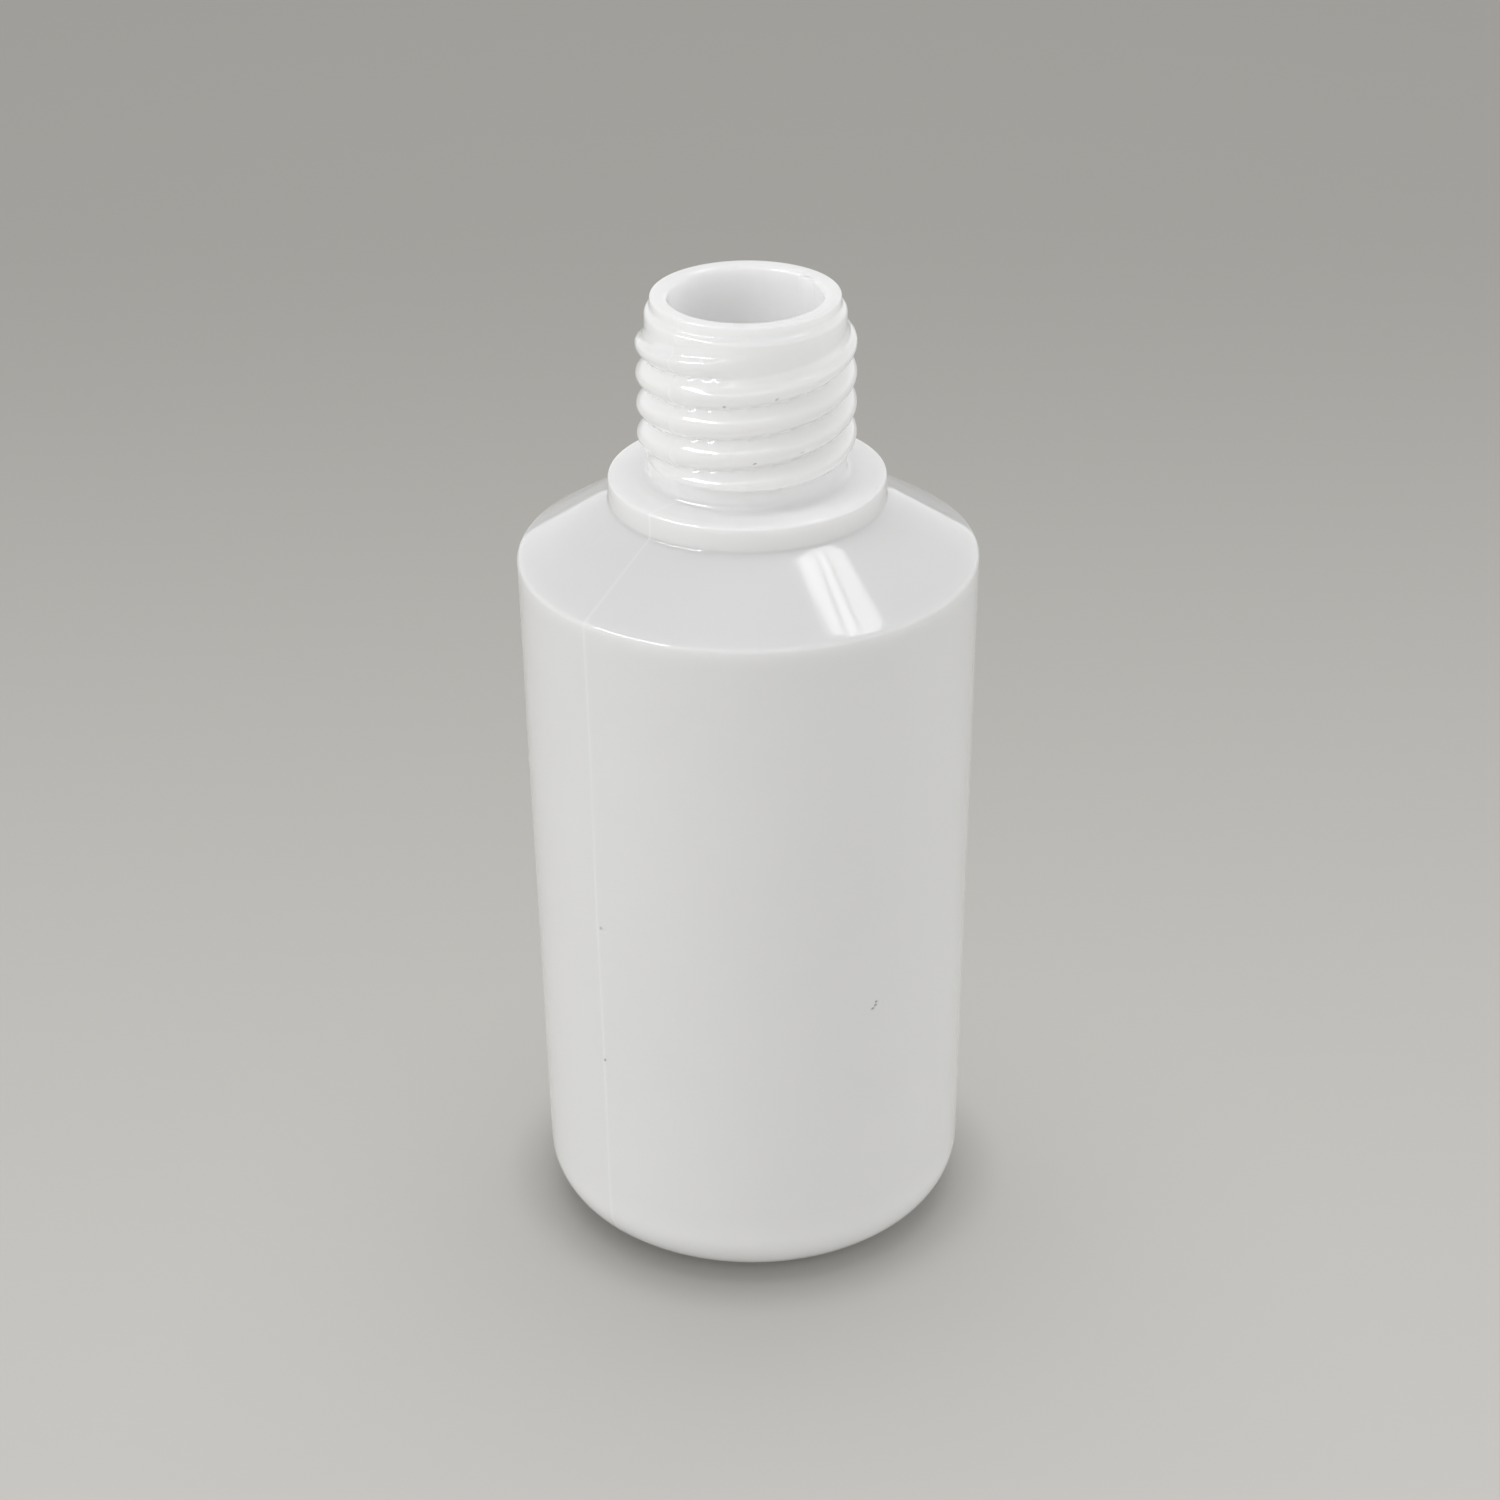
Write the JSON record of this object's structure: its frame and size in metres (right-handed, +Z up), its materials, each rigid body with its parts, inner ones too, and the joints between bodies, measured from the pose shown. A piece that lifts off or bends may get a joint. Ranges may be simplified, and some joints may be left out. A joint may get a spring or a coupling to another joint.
{
  "type": "threaded plastic bottle",
  "caption": "Small round translucent plastic bottle with a conical shoulder, a collar, a threaded neck and an open mouth.",
  "frame": {"origin": "centre of the standing ring under the base", "axes": "+Z up along the bottle's axis towards the mouth, front towards -Y"},
  "size_m": [0.0312, 0.0312, 0.0684],
  "materials": {
    "natural_polyethylene": "satin"
  },
  "bodies": {
    "root": {"bottle": "natural_polyethylene"}
  },
  "joints": []
}
